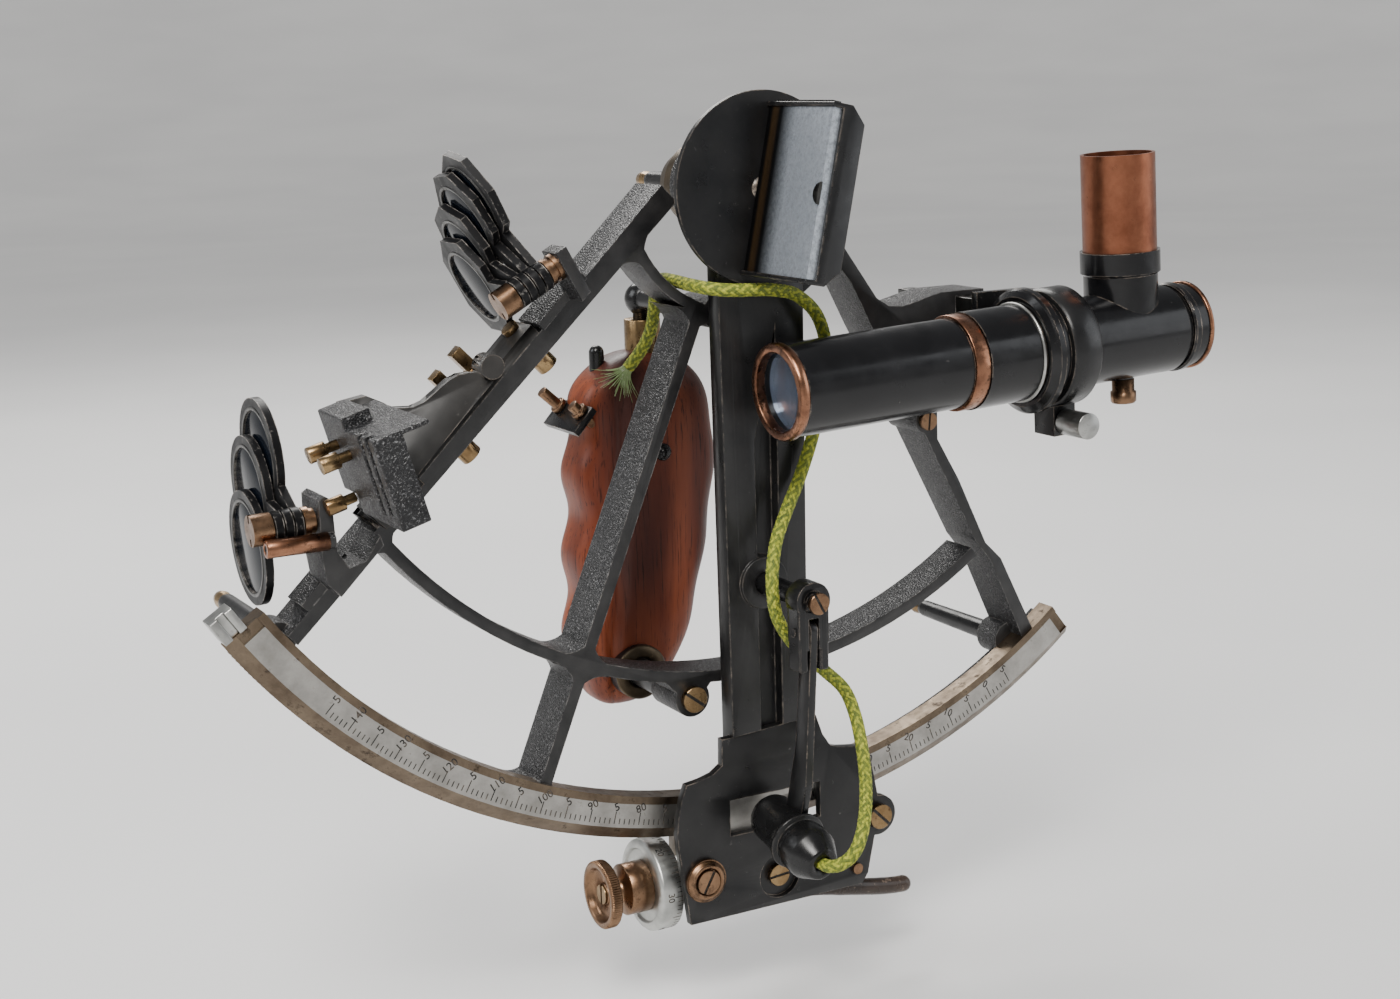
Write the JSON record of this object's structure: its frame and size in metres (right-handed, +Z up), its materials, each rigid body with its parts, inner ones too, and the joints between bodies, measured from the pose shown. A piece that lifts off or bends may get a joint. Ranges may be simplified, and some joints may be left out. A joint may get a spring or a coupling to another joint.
{
  "type": "sextant",
  "caption": "Metal sextant with a graduated arc, swinging index arm, two mirrors, folding shades, a telescope, a wooden handle and a lamp on a cord.",
  "frame": {"origin": "on the axis of the index arm, in the plane of the limb's graduated face", "axes": "+X to the right, towards the eyepiece, +Z up, with the index arm hanging along -Z; +Y away from the viewer, towards the handle"},
  "size_m": [0.2859, 0.1115, 0.2372],
  "materials": {
    "crackle_paint": "thick black crackle paint",
    "black_metal": "smooth semi-gloss black paint",
    "limb_brass": "dulled brown brass",
    "scale_silver": "satin silvered metal",
    "grey_steel": "plain grey steel",
    "worn_brass": "handled brass",
    "dark_bronze": "dark oxidised bronze",
    "copper_trim": "worn reddish brass",
    "copper": "browned copper",
    "grip_wood": "polished red-brown wood",
    "mirror": "silvered glass",
    "shade_frame": "satin black frame with a dark filter glass",
    "clear_glass": "coated glass",
    "black_plastic": "black moulding",
    "cord_braid": "yellow-green braid"
  },
  "bodies": {
    "frame": {"frame_casting": "crackle_paint", "limb": "limb_brass", "arc_scale": "scale_silver", "limb_stop": "grey_steel", "legs": "black_metal", "leg_tips": "worn_brass", "index_bearing": "dark_bronze", "horizon_bracket": "crackle_paint", "horizon_mirror_case": "crackle_paint", "horizon_mirror_glass": "mirror", "horizon_fasteners": "worn_brass", "index_shade_bracket": "crackle_paint", "horizon_shade_bracket": "crackle_paint", "shade_pins": "copper_trim", "handle_grip": "grip_wood", "handle_tube": "worn_brass", "upper_pillar": "black_metal", "lower_pillar": "black_metal", "terminal_plate": "black_metal", "terminal_posts": "copper_trim", "frame_screws": "worn_brass"},
    "index_arm": {"index_arm": "black_metal", "reading_plate": "black_metal", "index_mark": "scale_silver", "plate_screws": "copper_trim", "mirror_disc": "black_metal", "index_mirror_holder": "black_metal", "index_mirror_glass": "mirror", "mirror_clips": "copper_trim", "arm_pivot": "worn_brass", "lamp_post": "black_metal", "lamp_cord": "cord_braid"},
    "carrier": {"worm_carrier": "dark_bronze", "release_lever": "black_metal", "drum_index": "scale_silver"},
    "drum": {"micrometer_drum": "scale_silver", "drum_knob": "worn_brass", "worm": "worn_brass"},
    "index_shade_1": {"index_shade_1": "shade_frame"},
    "index_shade_2": {"index_shade_2": "shade_frame"},
    "index_shade_3": {"index_shade_3": "shade_frame"},
    "index_shade_4": {"index_shade_4": "shade_frame"},
    "horizon_shade_1": {"horizon_shade_1": "shade_frame"},
    "horizon_shade_2": {"horizon_shade_2": "shade_frame"},
    "horizon_shade_3": {"horizon_shade_3": "shade_frame"},
    "telescope": {"telescope_stem": "scale_silver", "telescope_collar": "black_metal", "objective_tube": "black_metal", "telescope_rings": "copper_trim", "objective_lens": "clear_glass", "telescope_body": "black_metal", "copper_tube": "copper"},
    "eyepiece": {"eyepiece": "copper_trim"},
    "clamp": {"clamp_screw": "grey_steel"},
    "lamp_link": {"lamp_link": "black_metal"},
    "lamp": {"lamp_arm": "black_metal", "lamp_housing": "black_plastic"},
    "button": {"handle_button": "black_plastic"}
  },
  "joints": [
    {"name": "index_swing", "type": "hinge", "parent": "frame", "child": "index_arm", "pos_m": [0, 0, 0], "axis": [0, 1, 0], "range_deg": [-30.25, 44.75], "deforming": ["lamp_cord"]},
    {"name": "release_press", "type": "hinge", "parent": "index_arm", "child": "carrier", "pos_m": [0.0357, -0.004, -0.1831], "axis": [0, -1, 0], "range_deg": [0, 4], "stiffness_Nm_per_rad": 0.5, "springref_deg": -17.19},
    {"name": "drum_turn", "type": "hinge", "parent": "carrier", "child": "drum", "pos_m": [-0.03, 0.007, -0.195], "axis": [1, 0, 0], "continuous": true},
    {"name": "index_shade_1_fold", "type": "hinge", "parent": "frame", "child": "index_shade_1", "pos_m": [-0.0742, -0.004, -0.0263], "axis": [0.8763, 0, 0.4818], "range_deg": [0, 165]},
    {"name": "index_shade_2_fold", "type": "hinge", "parent": "frame", "child": "index_shade_2", "pos_m": [-0.0742, -0.004, -0.0263], "axis": [0.8763, 0, 0.4818], "range_deg": [0, 147]},
    {"name": "index_shade_3_fold", "type": "hinge", "parent": "frame", "child": "index_shade_3", "pos_m": [-0.0742, -0.004, -0.0263], "axis": [0.8763, 0, 0.4818], "range_deg": [0, 125]},
    {"name": "index_shade_4_fold", "type": "hinge", "parent": "frame", "child": "index_shade_4", "pos_m": [-0.0742, -0.004, -0.0263], "axis": [0.8763, 0, 0.4818], "range_deg": [0, 110]},
    {"name": "horizon_shade_1_fold", "type": "hinge", "parent": "frame", "child": "horizon_shade_1", "pos_m": [-0.1429, -0.005, -0.0756], "axis": [0.9989, 0, 0.0466], "range_deg": [0, 167]},
    {"name": "horizon_shade_2_fold", "type": "hinge", "parent": "frame", "child": "horizon_shade_2", "pos_m": [-0.1429, -0.005, -0.0756], "axis": [0.9989, 0, 0.0466], "range_deg": [0, 136.4]},
    {"name": "horizon_shade_3_fold", "type": "hinge", "parent": "frame", "child": "horizon_shade_3", "pos_m": [-0.1429, -0.005, -0.0756], "axis": [0.9989, 0, 0.0466], "range_deg": [0, 113.2]},
    {"name": "telescope_rise", "type": "slide", "parent": "frame", "child": "telescope", "axis": [0, 1, 0], "range_m": [-0.01, 0]},
    {"name": "eyepiece_focus", "type": "slide", "parent": "telescope", "child": "eyepiece", "axis": [0.9989, 0, 0.0466], "range_m": [0, 0.004]},
    {"name": "clamp_screw_turn", "type": "hinge", "parent": "telescope", "child": "clamp", "pos_m": [0.08447, -0.028, -0.06876], "axis": [0, 1, 0], "continuous": true},
    {"name": "lamp_swing", "type": "hinge", "parent": "index_arm", "child": "lamp_link", "pos_m": [-0.0015, -0.033, -0.1077], "axis": [0, 1, 0], "range_deg": [-30, 30], "deforming": ["lamp_cord"]},
    {"name": "lamp_tilt", "type": "hinge", "parent": "lamp_link", "child": "lamp", "pos_m": [-0.0015, -0.0335, -0.116], "axis": [-1, 0, 0], "range_deg": [0, 60], "deforming": ["lamp_cord"]},
    {"name": "button_press", "type": "slide", "parent": "frame", "child": "button", "axis": [0, 0, 1], "range_m": [-0.002, 0], "stiffness_N_per_m": 200, "springref_m": 0.001}
  ]
}
